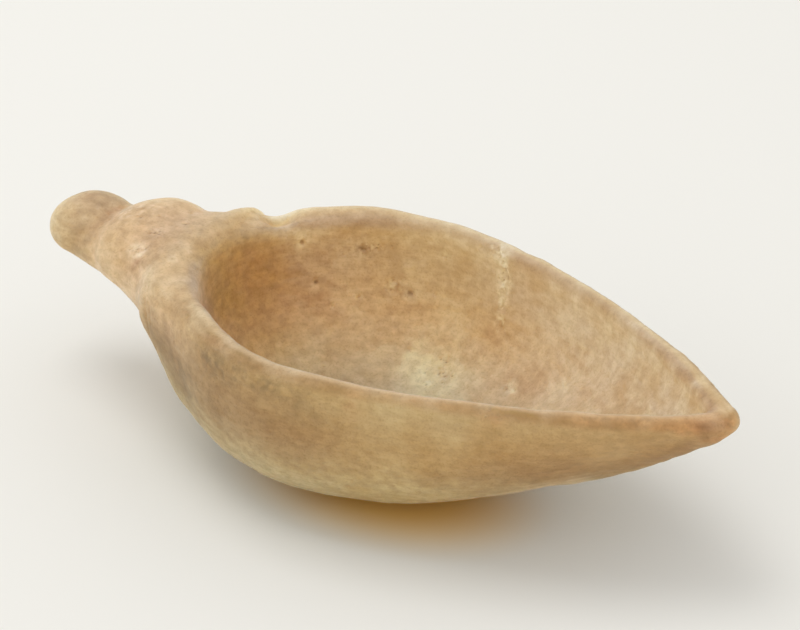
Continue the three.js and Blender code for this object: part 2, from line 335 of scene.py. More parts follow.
class Bowl:
    """The bowl's walls and lip as rings of points, in millimetres."""

    def __init__(self, sizes):
        self.widest = sizes.widest_x / MM
        self.rim = sizes.rim_height / MM
        self.floor = sizes.floor_height / MM
        self.turn = np.arange(ROUND_STEPS) / ROUND_STEPS
        outer = LeafOutline(self.widest, sizes.tip_x / MM, TIP_RADIUS, sizes.half_width / MM,
                            sizes.back_x / MM, OUTER_EASE)
        hollow = LeafOutline(self.widest, sizes.hollow_tip_x / MM, HOLLOW_TIP_RADIUS,
                             sizes.hollow_half_width / MM, sizes.hollow_back_x / MM, HOLLOW_EASE)
        self.outer_edge = outer.at(self.turn)
        self.hollow_edge = hollow.at(self.turn)
        share = 2 * np.minimum(self.turn, 1 - self.turn)
        self.outer_round = blend(TIP_ROUND, LIP_ROUND, smooth_step(share, *TIP_TO_SIDE))
        self.outer_round = blend(self.outer_round, BACK_ROUND, smooth_step(share, *SIDE_TO_BACK))
        self.inner_round = blend(HOLLOW_ROUND, BACK_HOLLOW_ROUND,
                                 smooth_step(share, *HOLLOW_SIDE_TO_BACK))
        back_crest = blend(FAR_BACK_CREST, NEAR_BACK_CREST, smooth_step(self.turn, *FAR_TO_NEAR_BACK))
        self.crest = blend(SIDE_CREST, back_crest, smooth_step(share, *CREST_SIDE_TO_BACK))[:, None]

    def fullness(self, edge, at_tip, at_side, at_back):
        """How full the wall is: nearly straight at the point, round at the sides, a funnel at the back."""
        bearing = np.degrees(np.arctan2(np.abs(edge[:, 1]), edge[:, 0] - self.widest))
        towards_side = blend(at_tip, at_side, smooth_step(bearing, *TIP_BEARINGS))
        return blend(towards_side, at_back, smooth_step(bearing, *BACK_BEARINGS))

    def drawn_in(self, edge, out, height):
        """The edge drawn in to a share of its way out from the middle, at that height."""
        x = self.widest + (edge[:, 0] - self.widest) * out
        return np.stack([x, edge[:, 1] * out, height], axis=-1)

    def outer_ring(self, climb):
        """A ring of the outer wall: climb is 0 at the edge of the worn flat and 1 under the lip."""
        spread = self.fullness(self.outer_edge, *OUTER_SPREADS)
        steepness = self.fullness(self.outer_edge, *OUTER_RISES)
        wall_height = self.rim - self.outer_round + WORN_FLAT
        flat_run = (1 - (1 - WORN_FLAT / wall_height) ** steepness) ** (1 / spread)
        out = blend(flat_run, 1.0, math.sin(climb * math.pi / 2))
        rise = 1 - np.maximum(0, 1 - out ** spread) ** (1 / steepness)
        return self.drawn_in(self.outer_edge, out, np.maximum(0, wall_height * rise - WORN_FLAT))

    def hollow_ring(self, climb):
        """A ring of the hollow's wall: climb is 0 at the deepest place and 1 under the lip."""
        spread = self.fullness(self.hollow_edge, *HOLLOW_SPREADS)
        steepness = self.fullness(self.hollow_edge, *HOLLOW_RISES)
        out = math.sin(climb * math.pi / 2)
        rise = 1 - np.maximum(0, 1 - out ** spread) ** (1 / steepness)
        wall_height = self.rim - self.inner_round - self.floor
        return self.drawn_in(self.hollow_edge, out, self.floor + wall_height * rise)

    def lip_ring(self, over):
        """A ring of the rounded lip: over is 0 at the outer wall and 1 at the hollow's wall."""
        before_crest = over < 0.5
        width = self.crest if before_crest else 1 - self.crest
        across = self.crest - width * math.cos(over * math.pi)
        up = math.sin(over * math.pi) ** LIP_FLATNESS
        at = blend(self.outer_edge, self.hollow_edge, across)
        reaches_down = self.outer_round if before_crest else self.inner_round
        return np.column_stack([at, self.rim - reaches_down * (1 - up)])

    def solid(self):
        """The whole bowl: up its outer wall, over the lip and down into the hollow."""
        rings = [self.outer_ring(i / WALL_STEPS) for i in range(WALL_STEPS + 1)]
        rings += [self.lip_ring(i / LIP_STEPS) for i in range(1, LIP_STEPS)]
        rings += [self.hollow_ring(i / WALL_STEPS) for i in range(WALL_STEPS, 0, -1)]
        return ringed_solid(np.array(rings), (self.widest, 0, 0), (self.widest, 0, self.floor))


def ringed_solid(rings, first, last):
    """A closed solid: rings of points side by side, with a single point before and after them."""
    ring_count, steps, _ = rings.shape
    points = np.vstack([[first], rings.reshape(-1, 3), [last]])
    index = 1 + np.arange(ring_count * steps).reshape(ring_count, steps)
    ahead = np.roll(index, -1, axis=1)
    quads = np.stack([index[:-1], ahead[:-1], ahead[1:], index[1:]], axis=-1).reshape(-1, 4)
    start = np.stack([np.zeros(steps, int), ahead[0], index[0]], axis=-1)
    end = np.stack([np.full(steps, len(points) - 1), index[-1], ahead[-1]], axis=-1)
    return points, quads.tolist() + start.tolist() + end.tolist()


# The handle

LOBE_RINGS = 90
LOBE_STEPS = 140
ROUND_SECTION = 2.1  # squareness of a lobe's section: 2 for a round, more for a rounded box
BOXY_SECTION = 2.8

# The bar that the lobes stand out from: place along X, half width, half height and middle's height
CORE = (
    (-60, 6.5, 4, 24.4),
    (-49, 9.6, 5, 24.3),
    (-38, 14.3, 7.7, 23.7),
)

# The stone that fills the corner between the collar's near end and the bowl's wall
SHOULDER_PLACE = (-30.4, -16.4, 23.0)
SHOULDER_SIZE = (7.0, 7.0, 2.7, 7.0)
SHOULDER_TURN = math.radians(-26)


def section_swell(across, up, squareness):
    """How much a round section swells in a direction, to be a rounded box."""
    flattened = (np.abs(across) ** squareness + np.abs(up) ** squareness) ** (1 / squareness)
    return np.hypot(across, up) / flattened


def lobe_solid(place, size, squareness):
    """An egg lying along X, whose section is a round for squareness 2 and a rounded box for more."""
    x, y, z = (value / MM for value in place)
    to_end, to_bowl, half_width, half_height = (value / MM for value in size)
    angle = np.linspace(0, math.pi, LOBE_RINGS + 2)[1:-1, None]
    round_angle = np.arange(LOBE_STEPS)[None, :] * 2 * math.pi / LOBE_STEPS
    along = -np.cos(angle) + 0 * round_angle
    across = np.sin(angle) * np.cos(round_angle)
    up = np.sin(angle) * np.sin(round_angle)
    swell = section_swell(across, up, squareness)
    rings = np.stack([
        x + along * np.where(along < 0, to_end, to_bowl),
        y + across * swell * half_width,
        z + up * swell * half_height,
    ], axis=-1)
    return ringed_solid(rings, (x - to_end, y, z), (x + to_bowl, y, z))


def core_solid():
    """The bar that widens towards the bowl."""
    angle = np.arange(LOBE_STEPS) * 2 * math.pi / LOBE_STEPS
    swell = section_swell(np.cos(angle), np.sin(angle), ROUND_SECTION)
    rings = [
        np.column_stack([
            np.full(LOBE_STEPS, x),
            np.cos(angle) * swell * half_width,
            middle + np.sin(angle) * swell * half_height,
        ])
        for x, half_width, half_height, middle in CORE
    ]
    first, last = CORE[0], CORE[-1]
    return ringed_solid(np.array(rings, float), (first[0], 0, first[3]), (last[0], 0, last[3]))


def shoulder_solid():
    """An egg laid along the bowl's wall, where the collar runs out into it."""
    place = [value * MM for value in SHOULDER_PLACE]
    points, faces = lobe_solid(place, [value * MM for value in SHOULDER_SIZE], ROUND_SECTION)
    turn = np.array(Matrix.Rotation(SHOULDER_TURN, 3, "Z"))
    return (points - SHOULDER_PLACE) @ turn.T + SHOULDER_PLACE, faces


def handle_solids(sizes):
    """The bar, the filled corner and the three lobes."""
    return [
        core_solid(),
        shoulder_solid(),
        lobe_solid(sizes.knob_place, sizes.knob_size, ROUND_SECTION),
        lobe_solid(sizes.middle_place, sizes.middle_size, ROUND_SECTION),
        lobe_solid(sizes.collar_place, sizes.collar_size, BOXY_SECTION),
    ]


# One skin of stone

ROUGH_SIDE = 0.6  # millimetres, the side of its squares while the handle is blended into the bowl
FEWEST_FACES = 10000  # a skin with fewer has lost the dish
DRAWN_IN = 0.5  # how far one round of evening moves a point towards the middle of its neighbours
PUSHED_OUT = 0.53  # and how far back out, so that the skin doesn't shrink
FILLED = 0.7  # how far one round of filling moves a point outwards to that middle
ROUNDS_PER_NORMAL = 5  # how many rounds of filling go by before its directions are worked out anew


def joined(solids):
    """One mesh that holds all the solids, still running through one another."""
    points = []
    faces = []
    for solid_points, solid_faces in solids:
        start = sum(len(block) for block in points)
        points.append(solid_points)
        faces += [[corner + start for corner in face] for face in solid_faces]
    mesh = bpy.data.meshes.new("solids")
    mesh.from_pydata(np.vstack(points).tolist(), [], faces)
    return mesh


def one_skin(mesh, side):
    """A mesh of small even squares, as one closed skin round everything in the given mesh."""
    rough = bpy.data.objects.new("rough_stone", mesh)
    bpy.context.scene.collection.objects.link(rough)
    remesh = rough.modifiers.new("Skin", "REMESH")
    remesh.mode = "VOXEL"
    remesh.voxel_size = side
    dressed = rough.evaluated_get(bpy.context.evaluated_depsgraph_get())
    skin = bpy.data.meshes.new_from_object(dressed)
    bpy.data.objects.remove(rough)
    bpy.data.meshes.remove(mesh)
    if len(skin.polygons) < FEWEST_FACES:
        raise RuntimeError("the stone's skin came out too coarse or empty")
    return skin


class Skin:
    """The skin's points, in millimetres, with what is needed to smooth them and to push them about."""

    def __init__(self, mesh):
        self.mesh = mesh
        self.points = np.empty(len(mesh.vertices) * 3)
        mesh.vertices.foreach_get("co", self.points)
        self.points = self.points.reshape(-1, 3)
        edges = np.empty(len(mesh.edges) * 2, int)
        mesh.edges.foreach_get("vertices", edges)
        edges = edges.reshape(-1, 2)
        self.one = np.concatenate([edges[:, 0], edges[:, 1]])
        self.other = np.concatenate([edges[:, 1], edges[:, 0]])
        self.neighbours = np.bincount(self.one, minlength=len(self.points))

    def middles(self):
        """The middle of each point's neighbours."""
        sums = [np.bincount(self.one, self.points[self.other, i], len(self.points)) for i in range(3)]
        return np.stack(sums, axis=-1) / self.neighbours[:, None]

    def smooth(self, rounds):
        """Evens the skin out without shrinking it."""
        for _ in range(rounds):
            self.points = self.points + DRAWN_IN * (self.middles() - self.points)
            self.points = self.points - PUSHED_OUT * (self.middles() - self.points)

    def melt(self, rounds, share):
        """Rounds the skin off, filling grooves and lowering edges. Share says how much, for each point."""
        for _ in range(rounds):
            self.points = self.points + DRAWN_IN * share[:, None] * (self.middles() - self.points)

    def fill(self, rounds, share):
        """Fills what is hollow and leaves what stands out. Share says how much, for each point."""
        for turn in range(rounds):
            if turn % ROUNDS_PER_NORMAL == 0:
                normals = self.normals()
            outwards = ((self.middles() - self.points) * normals).sum(axis=1)
            self.points = self.points + (FILLED * share * np.maximum(0, outwards))[:, None] * normals

    def settled(self):
        """The mesh, with its points where they are now."""
        self.mesh.vertices.foreach_set("co", self.points.ravel())
        self.mesh.update()
        return self.mesh

    def normals(self):
        """The direction that the skin faces at each point."""
        self.settled()
        normals = np.empty(len(self.points) * 3)
        self.mesh.vertex_normals.foreach_get("vector", normals)
        return normals.reshape(-1, 3)

    def push(self, amount):
        """Moves each point outwards by its amount."""
        self.points = self.points + self.normals() * amount[:, None]

    def near(self, place, reach):
        """1 at the place, falling off smoothly over its reach along X, Y and Z."""
        away = (self.points - np.array(place)) / np.broadcast_to(reach, 3)
        return np.exp(-(away ** 2).sum(axis=1))

    def along(self, path, reach):
        """1 on a path from place to place, falling off smoothly over its reach."""
        nearest = np.full(len(self.points), np.inf)
        for start, end in zip(path[:-1], path[1:]):
            run = np.array(end, float) - start
            share = np.clip((self.points - start) @ run / (run @ run), 0, 1)
            away = np.linalg.norm(self.points - start - share[:, None] * run, axis=1)
            nearest = np.minimum(nearest, away)
        return np.exp(-(nearest / reach) ** 2)


# Places on the stone, in millimetres along X, Y and Z

# Where the stone is fuller (+) or flatter (-) than the plain shape: place, reach, amount
SWELLS = (
    ((-30.4, 13.2, 30), (2.5, 2.5, 3), -2.2),
    ((-18, 22.5, 30), (8, 4, 3), 0.45),
    ((34, -12.5, 12), (6, 5, 4), 0.5),
    ((50, -6.5, 19.5), (6, 5, 5), -0.5),
    ((58, -3.5, 22), (3.5, 3, 3), 0.45),
    ((64.6, 2.6, 29.5), (2, 2, 2), 0.35),
    ((62.8, -2.4, 26), (3, 3, 3), 0.8),
    ((-22, -22.9, 15.5), (5, 5, 5), -0.6),
    ((18.4, -20.7, 9.2), (8, 5, 5), -0.35),
)

# Larger pits: place, reach, depth
PITS = (
    ((-25.8, 13.8, 25.7), 0.49, 0.45),
    ((-23.6, 14.5, 18.7), 0.45, 0.4),
    ((-17.4, 18.1, 16.2), 0.34, 0.3),
    ((-4.8, 25.1, 24.4), 0.38, 0.35),
    ((20.2, 20.3, 23.2), 0.41, 0.4),
    ((22.1, 19.5, 22.6), 0.45, 0.45),
    ((25.5, 18.3, 22.1), 0.34, 0.35),
    ((29.3, 15.7, 21.3), 0.45, 0.45),
    ((14.2, 15.1, 10.7), 0.38, 0.3),
    ((15.9, 14.8, 11.2), 0.34, 0.3),
    ((-10.1, 22.3, 17.4), 0.60, 0.35),
    ((-43.0, -9.2, 28.9), 0.4, 0.35),
    ((-42.3, -8.8, 28.9), 0.45, 0.4),
    ((-41.6, -9.0, 28.9), 0.4, 0.35),
    ((-41.0, -9.1, 28.9), 0.35, 0.3),
    ((-41.4, -4.8, 30.6), 0.5, 0.3),
    ((-39.2, -0.2, 31.2), 0.4, 0.3),
    ((-40.9, 3.6, 30.7), 0.4, 0.3),
    ((-34.3, -9.8, 30.6), 0.35, 0.25),
    ((-33.8, -6.1, 30.9), 0.35, 0.25),
    ((-38.4, -13.0, 26.8), 0.35, 0.3),
    ((-59.7, -3.0, 29.2), 0.4, 0.25),
)

# Crowds of small pits: middle, spread, how many
PIT_CLUSTERS = (
    ((-17.5, 20.5, 24.3), (2.6, 2, 1.0), 16),
    ((-13, 21.6, 18.2), (1.5, 1, 0.8), 8),
    ((-10.1, 22.3, 17.4), (0.6, 0.6, 0.6), 4),
    ((1.0, 16.2, 8.8), (2.2, 2.4, 1.5), 14),
    ((7.2, 24.2, 24), (0.9, 1, 3.0), 9),
    ((-42, -9, 28.9), (0.9, 0.7, 0.7), 6),
    ((-41.3, -4.8, 30.6), (1.2, 1.0, 0.6), 6),
    ((-50, -1, 31), (4, 3, 1.5), 8),
    ((34.5, -19.3, 28.4), (2.0, 1, 1.2), 8),
)

# A crumbling crack down the far wall, from the lip to the floor of the hollow
CRACK = ((5.1, 25.6, 29.6), (6.6, 24.8, 27.5), (7.9, 24.2, 25), (7.0, 23.9, 20.8), (8.0, 22.5, 16.8))
FAINT_CRACK = ((8.0, 22.5, 16.8), (10.4, 20.4, 14.1), (13.7, 16.4, 11.4))

# Fine creases where the collar runs out into the bowl's wall, and the groove before it
CREASES = (
    ((-35.8, -15.0, 28.6), (-34.6, -16.8, 26.0), (-34.0, -17.6, 23.2), (-33.6, -17.6, 19.5)),
    ((-34.6, -15.6, 28.2), (-32.8, -17.8, 25.4), (-32.6, -18.2, 22.8)),
)
GROOVE = ((-40.2, -11.6, 27.4), (-40.0, -13.4, 25.2), (-40.0, -13.4, 22.2))

# Worn lines: path, depth, reach
WORN_LINES = (
    (FAINT_CRACK, 0.10, 0.4),
    (CREASES[0], 0.2, 0.35),
    (CREASES[1], 0.2, 0.35),
    (GROOVE, 0.12, 0.7),
)

# Stains, painted shade and painted glow: place, reach, strength
# Painted shade at the hollow's round end and along its edge there, in warm amber
AMBER_SHADE_PLACES = (
    ((-31, -1, 20), (5, 8, 7), 1.0),
    ((-29, 7, 21), (5, 6, 7), 0.7),
    ((-25, 3, 12), (6, 9, 4), 0.5),
    ((-31.6, -2, 25.5), (2.5, 9, 3.5), 0.7),
    ((-32.8, -3, 28.2), (1.5, 9, 2.2), 0.55),
)
# Painted glow on the bottom of the hollow, as where light comes through the stone
PAINTED_GLOW_PLACES = (
    ((-0.9, 15.2, 8.3), (4.5, 4, 3), 0.95),
    ((3, 8, 5.5), (8, 6, 3), 0.3),
)
OLIVE_PLACES = (
    ((-12, -27.4, 26.5), (6, 3, 2.6), 1.0),
    ((-2.5, -28.9, 27.2), (7, 3, 2.2), 1.0),
    ((5, -28, 25), (6, 3, 3), 0.6),
    ((-22, -23, 18), (5, 4, 6), 0.4),
    ((24, -25, 14), (9, 5, 4), 0.4),
)
RUST_PLACES = (
    ((-13, -26.3, 29.3), (5, 2, 0.9), 0.35),
    ((0, -28.2, 29.4), (7, 2, 0.9), 0.3),
    ((24, -23, 29.6), (8, 3.0, 1.0), 0.5),
    ((14.1, -25.4, 29.6), (1.6, 2.0, 1.4), 0.75),
    ((13.2, -26.4, 26), (1.4, 1.5, 2.4), 0.5),
    ((34.4, -19.2, 28.3), (2.6, 1.5, 1.6), 0.6),
    ((48, -12.2, 29.6), (5, 2.6, 1.2), 0.8),
    ((54.3, -8.6, 29.4), (4, 2.4, 1.3), 0.75),
    ((60, -5.4, 28.8), (3.5, 2.5, 1.6), 0.8),
    ((64.8, -1.2, 27.8), (2.4, 2.8, 2.6), 1.0),
    ((-41.2, -10.6, 27.2), (0.7, 1.0, 1.4), 0.9),
    ((-60.5, -1.5, 30.2), (2.6, 3.0, 1.0), 0.3),
    ((-54.4, 1.0, 29.0), (0.8, 3.0, 1.0), 0.35),
)
CHALK_PLACES = (
    ((6.4, 25.2, 28.6), (1.6, 1.5, 1.8), 0.6),
    ((7.5, 23.9, 23), (1.0, 1.5, 3.5), 0.4),
    ((6.5, 24.8, 26), (1.3, 1.5, 5), 0.3),
    ((25.7, 13.3, 15), (3.0, 2.5, 2.5), 0.5),
    ((15, 15, 11), (1.6, 1.5, 1.5), 0.6),
    ((29.3, 15.7, 21.3), (1.3, 1.3, 1.3), 0.5),
    ((-42, -9, 28.9), (1.5, 1.5, 1.5), 0.7),
    ((-25.8, 13.8, 25.7), (1.3, 1.3, 1.3), 0.5),
)
DIRT_PLACES = (
    ((-17.5, 20.5, 24.2), (3.2, 2.5, 1.1), 0.7),
    ((-12.6, 21.6, 18.0), (1.2, 1.2, 0.8), 0.6),
    ((35.6, -18.6, 28.8), (2.2, 1.5, 1.2), 0.35),
    ((-10.1, 22.3, 17.4), (0.8, 0.8, 0.8), 0.8),
    ((1.0, 16.0, 8.6), (3.0, 2.5, 2), 0.3),
    ((53.6, -9.4, 29.6), (0.8, 0.8, 0.8), 0.5),
)

# Stains, painted shade and painted glow in the order in which they are laid on: colour, how broken up it
# is, places
STAINS_AND_PAINTED_LIGHT = (
    ("amber_shade", 0.15, AMBER_SHADE_PLACES),
    ("bright", 0.3, PAINTED_GLOW_PLACES),
    ("olive", 0.85, OLIVE_PLACES),
    ("rust", 0.6, RUST_PLACES),
    ("chalk", 0.5, CHALK_PLACES),
    ("dirt", 0.8, DIRT_PLACES),
)


# Blending the handle into the bowl. A pair says where along an axis the blending starts and is full.

EVENING_ROUNDS = 3
COLLAR_FRONT = (-20, -27)  # along X
COLLAR_END = (-46, -40)
COLLAR_NEAR_SIDE = (6, 0)  # along Y
FILL_HEIGHT = (8, 14)  # along Z
FILL_ROUNDS = 150
MELT_HEIGHT = (12, 20)
COLLAR_MELT_ROUNDS = 30
COLLAR_MELT = 0.8
HANDLE_FRONT = (-34, -42)
HANDLE_END = (-56, -50)
HANDLE_NEAR_SIDE = (4, -2)
HANDLE_MELT_ROUNDS = 36
HANDLE_MELT = 0.6


def blend_handle(skin):
    """Fills the groove between the collar and the bowl, on top and on the near side."""
    x, y, z = skin.points.T
    skin.smooth(EVENING_ROUNDS)
    beside_collar = (smooth_step(x, *COLLAR_FRONT) * smooth_step(x, *COLLAR_END)
                     * smooth_step(y, *COLLAR_NEAR_SIDE))
    skin.fill(FILL_ROUNDS, beside_collar * smooth_step(z, *FILL_HEIGHT))
    skin.melt(COLLAR_MELT_ROUNDS, beside_collar * smooth_step(z, *MELT_HEIGHT) * COLLAR_MELT)
    near_handle = (smooth_step(x, *HANDLE_FRONT) * smooth_step(x, *HANDLE_END)
                   * smooth_step(y, *HANDLE_NEAR_SIDE))
    skin.melt(HANDLE_MELT_ROUNDS, near_handle * HANDLE_MELT)


# Carving, in millimetres

LAST_EVENING_ROUNDS = 8
WAVES = ((0.20, 17), (0.10, 6), (0.05, 2.4))  # height and size of the unevenness everywhere
LIP_WAVES = ((0.08, 5), (0.025, 1.7))  # and on the lip
LAYERS = ((0.05, 0.9),)  # and of the stone's level layers, which are drawn out sideways
LAYER_STRETCH = (0.2, 0.2, 1.0)
WORN_LIP_HEIGHT = (26.5, 29.3)  # where along Z the lip's wear starts and is full
WORN_LIP_START = (-38, -30)  # and along X

# Random pits and chips: the least and the most
CLUSTER_PIT_DEPTH = (0.14, 0.36)
CLUSTER_PIT_REACH = (0.24, 0.42)
SMALL_PIT_DEPTH = (0.1, 0.24)
SMALL_PIT_REACH = (0.28, 0.5)
SMALL_PITS = 150
CHIP_REACH = (0.5, 1.5)
CHIP_LENGTH = 1.8  # times its reach
CHIP_DEPTH = 0.13  # times its reach
LIP_CHIPS = 26

CRACK_DEPTH = 0.34
CRACK_REACH = 0.4
CRUMBLING_DEPTH = 0.16
CRUMBLING_REACH = 1.6
CRUMBLING = (1.1, 0.6, 0.8)  # patches: size, middle value and contrast


def scattered(skin, draw, count, weight):
    """Places drawn at random from the skin's points, more where the weight is more."""
    chosen = draw.choice(len(skin.points), count, replace=False, p=weight / weight.sum())
    return skin.points[chosen]


def carve(skin, seed):
    """Gives the stone its uneven, worn and pitted surface, and says how deep in a pit each point is."""
    draw = np.random.default_rng(seed)
    uneven = Unevenness(seed)
    x, _, z = skin.points.T
    skin.smooth(LAST_EVENING_ROUNDS)
    for place, reach, amount in SWELLS:
        skin.push(amount * skin.near(place, reach))
    plain = skin.points
    on_lip = smooth_step(z, *WORN_LIP_HEIGHT) * smooth_step(x, *WORN_LIP_START)
    skin.push(uneven.waves(plain, WAVES) + uneven.waves(plain * LAYER_STRETCH, LAYERS)
              + on_lip * uneven.waves(plain, LIP_WAVES))
    sunk = np.zeros(len(plain))
    for middle, spread, count in PIT_CLUSTERS:
        for place in scattered(skin, draw, count, skin.near(middle, spread)):
            depth = draw.uniform(*CLUSTER_PIT_DEPTH)
            sunk = np.maximum(sunk, depth * skin.near(place, draw.uniform(*CLUSTER_PIT_REACH)))
    for place, reach, depth in PITS:
        sunk = np.maximum(sunk, depth * skin.near(place, reach))
    for place in scattered(skin, draw, SMALL_PITS, np.ones(len(plain))):
        depth = draw.uniform(*SMALL_PIT_DEPTH)
        sunk = np.maximum(sunk, depth * skin.near(place, draw.uniform(*SMALL_PIT_REACH)))
    worn = np.zeros(len(plain))
    for place in scattered(skin, draw, LIP_CHIPS, on_lip):
        reach = draw.uniform(*CHIP_REACH)
        chip = skin.near(place, (CHIP_LENGTH * reach, reach, reach))
        worn = np.maximum(worn, CHIP_DEPTH * reach * chip)
    crumbled = uneven.patches(plain, *CRUMBLING)
    sunk = np.maximum(sunk, CRACK_DEPTH * crumbled * skin.along(CRACK, CRACK_REACH))
    worn = np.maximum(worn, CRUMBLING_DEPTH * crumbled * skin.along(CRACK, CRUMBLING_REACH))
    for path, depth, reach in WORN_LINES:
        worn = np.maximum(worn, depth * skin.along(path, reach))
    skin.push(-sunk - worn)
    return sunk


# The parts of the dish, for its colours. A pair says where a part starts and where it is full.

SPINE = (-14, 42)  # the middle line along X, which a side faces away from or towards
SPINE_RADIUS = 0.1  # a point nearer to the spine counts as this far away
FACING_OUT = (0.1, 0.6)  # share of its direction in which the outside faces away from the spine
OUTSIDE_START = (-40, -32)  # along X
FACING_IN = (-0.1, -0.5)  # the same for the hollow
HOLLOW_START = (-34, -31)
LIP_HEIGHT = (27.4, 29.3)  # along Z
LIP_START = (-36, -30)
CREST_HEIGHT = (28.8, 29.6)
CREST_FACING = (0.55, 0.95)  # share of its direction in which the crest faces up
KNOB_TOP_HEIGHT = (28.2, 30.6)
KNOB_TOP_SLANT = 0.4  # how much higher the far side of the knob counts, for each millimetre along Y


def parts_of(skin):
    """How far each point belongs to each part of the dish, from 0 to 1."""
    x, y, z = skin.points.T
    normals = skin.normals()
    from_spine = x - np.clip(x, *SPINE)
    outwards = np.maximum(np.hypot(from_spine, y), SPINE_RADIUS)
    facing = (from_spine * normals[:, 0] + y * normals[:, 1]) / outwards
    return {
        "stone": np.ones(len(x)),
        "outside": smooth_step(facing, *FACING_OUT) * smooth_step(x, *OUTSIDE_START),
        "hollow": smooth_step(facing, *FACING_IN) * smooth_step(x, *HOLLOW_START),
        "lip": smooth_step(z, *LIP_HEIGHT) * smooth_step(x, *LIP_START),
        "crest": smooth_step(z, *CREST_HEIGHT) * smooth_step(normals[:, 2], *CREST_FACING),
        "knob_top": smooth_step(z + KNOB_TOP_SLANT * y, *KNOB_TOP_HEIGHT),
    }


# Tints, which the colour is multiplied by: most are painted light and shade, darker where the soft light
# reaches less and lighter where it reaches more. A pair says where along an axis a tint starts and is full.

# Painted shade on the outside, which the soft light reaches less than the hollow
OUTSIDE_PAINTED_SHADE = (0.56, 0.53, 0.42)
# The upper back faces up into the light, so it gets less of that painted shade
PALE_BACK = 0.75  # how much of that tint the upper back is spared
PALE_BACK_HEIGHT = (20, 27)
PALE_BACK_START = (-12, -26)
# The lip darker: partly the stone's own darker, peach rim, partly painted shade where the lip faces up into
# the light
LIP_TONE_AND_PAINTED_SHADE = (0.66, 0.62, 0.60)
PALE_LIP = 0.6  # how much of that tint the near lip is spared
PALE_LIP_SIDE = (0, -3)
PALE_LIP_START = (-5, -20)
LIP_BY_HANDLE = 0.2  # how much of that tint the lip has beside the handle
LIP_FROM_HANDLE = (-32, -25)
AXIS_LIGHT_SHADE_AND_TONES = (
    # Painted shade: the outside darker towards the point, on the side away from the light
    ("outside", (0.76, 0.72, 0.72), {"x": (15, 55)}),  # towards the point
    # Painted light: the outside lighter and cooler towards the foot, lifting the painted shade there
    ("outside", (1.34, 1.54, 1.70), {"z": (21, 8)}),  # towards the foot
    # Painted shade on the hollow's upper wall
    ("hollow", (0.80, 0.82, 0.90), {"z": (13, 24)}),  # its upper wall
    # Painted light: the hollow's floor lighter, as where light comes through the stone
    ("hollow", (1.07, 1.09, 1.06), {"z": (15, 8)}),  # its floor
    # Painted shade in the hollow towards the point
    ("hollow", (0.90, 0.87, 0.92), {"x": (-2, 14)}),  # towards the point
    # Near the point: the lip's rusty tone, with painted shade
    ("lip", (0.88, 0.74, 0.62), {"x": (-10, 25), "y": (0, -3)}),  # near the point
    # Painted shade on the near lip's crest, which faces up into the light
    ("crest", (0.78, 0.71, 0.65), {"x": (-14, 24), "y": (-2, -8)}),  # of the near lip
    # The knob darker all over
    ("stone", (0.76, 0.79, 0.78), {"x": (-50, -57)}),  # the knob
    # A brown stain along the knob's top edge
    ("knob_top", (0.80, 0.78, 0.77), {"x": (-53, -57)}),
)
PAINTED_SHADE_PLACES = (
    # Painted shade on the belly of the near wall
    ("outside", (0.84, 0.80, 0.75), (5, -27, 20), (15, 8, 6)),  # place and reach: the belly
    # Painted shade beside the point
    ("outside", (0.84, 0.80, 0.74), (52, -10, 24), (9, 7, 4)),  # beside the point
    # Painted shade on the hollow's far wall
    ("hollow", (0.80, 0.76, 0.72), (-1, 24, 23), (12, 6, 8)),  # the far wall
    # Painted shade on the top of the collar, which faces up into the light
    ("stone", (0.86, 0.84, 0.77), (-36, 10, 30), (5, 14, 4)),  # the top of the collar
)

# The stone's own pattern, in millimetres: height and size, or size, middle value and contrast
CLOUDS = ((0.6, 9), (0.4, 4))
CLOUD_LEVEL = 0.55
CLOUD_CONTRAST = 0.9
STREAK_STRETCH = (0.22, 0.22, 1.0)
STREAK_SIZE = 0.8
STREAK_CONTRAST = 0.25
BREAKS = ((0.9, 2.0), (0.9, 0.8))
BREAK_LEVEL = 0.5
LIP_WEAR = (3, 0.3, 1)
VEINS = (1.2, 0, 2)
VEIN_STRETCH = (1.0, 1.0, 0.25)
VEIN_START = (12, 30)  # along X
CRUMBS = (0.55, -0.3, 2.5)

# How thickly chalk and dirt lie, and how far they reach
LIP_CHALK = 0.12
VEIN_CHALK = 0.12
CLUSTER_CHALK = 0.45
CLUSTER_REACH = 1.3  # times the crowd's spread
HALO_CHALK = 0.7
HALO_REACH = (1.3, 2.2)  # times the pit's reach, inside and outside
CRACK_CHALK = 0.5
CRACK_CHALK_REACH = 1.2
CRACK_DIRT = 0.6
CRACK_DIRT_REACH = 0.35
PIT_DIRT = 0.65
PIT_DIRT_DEPTH = (0.14, 0.34)


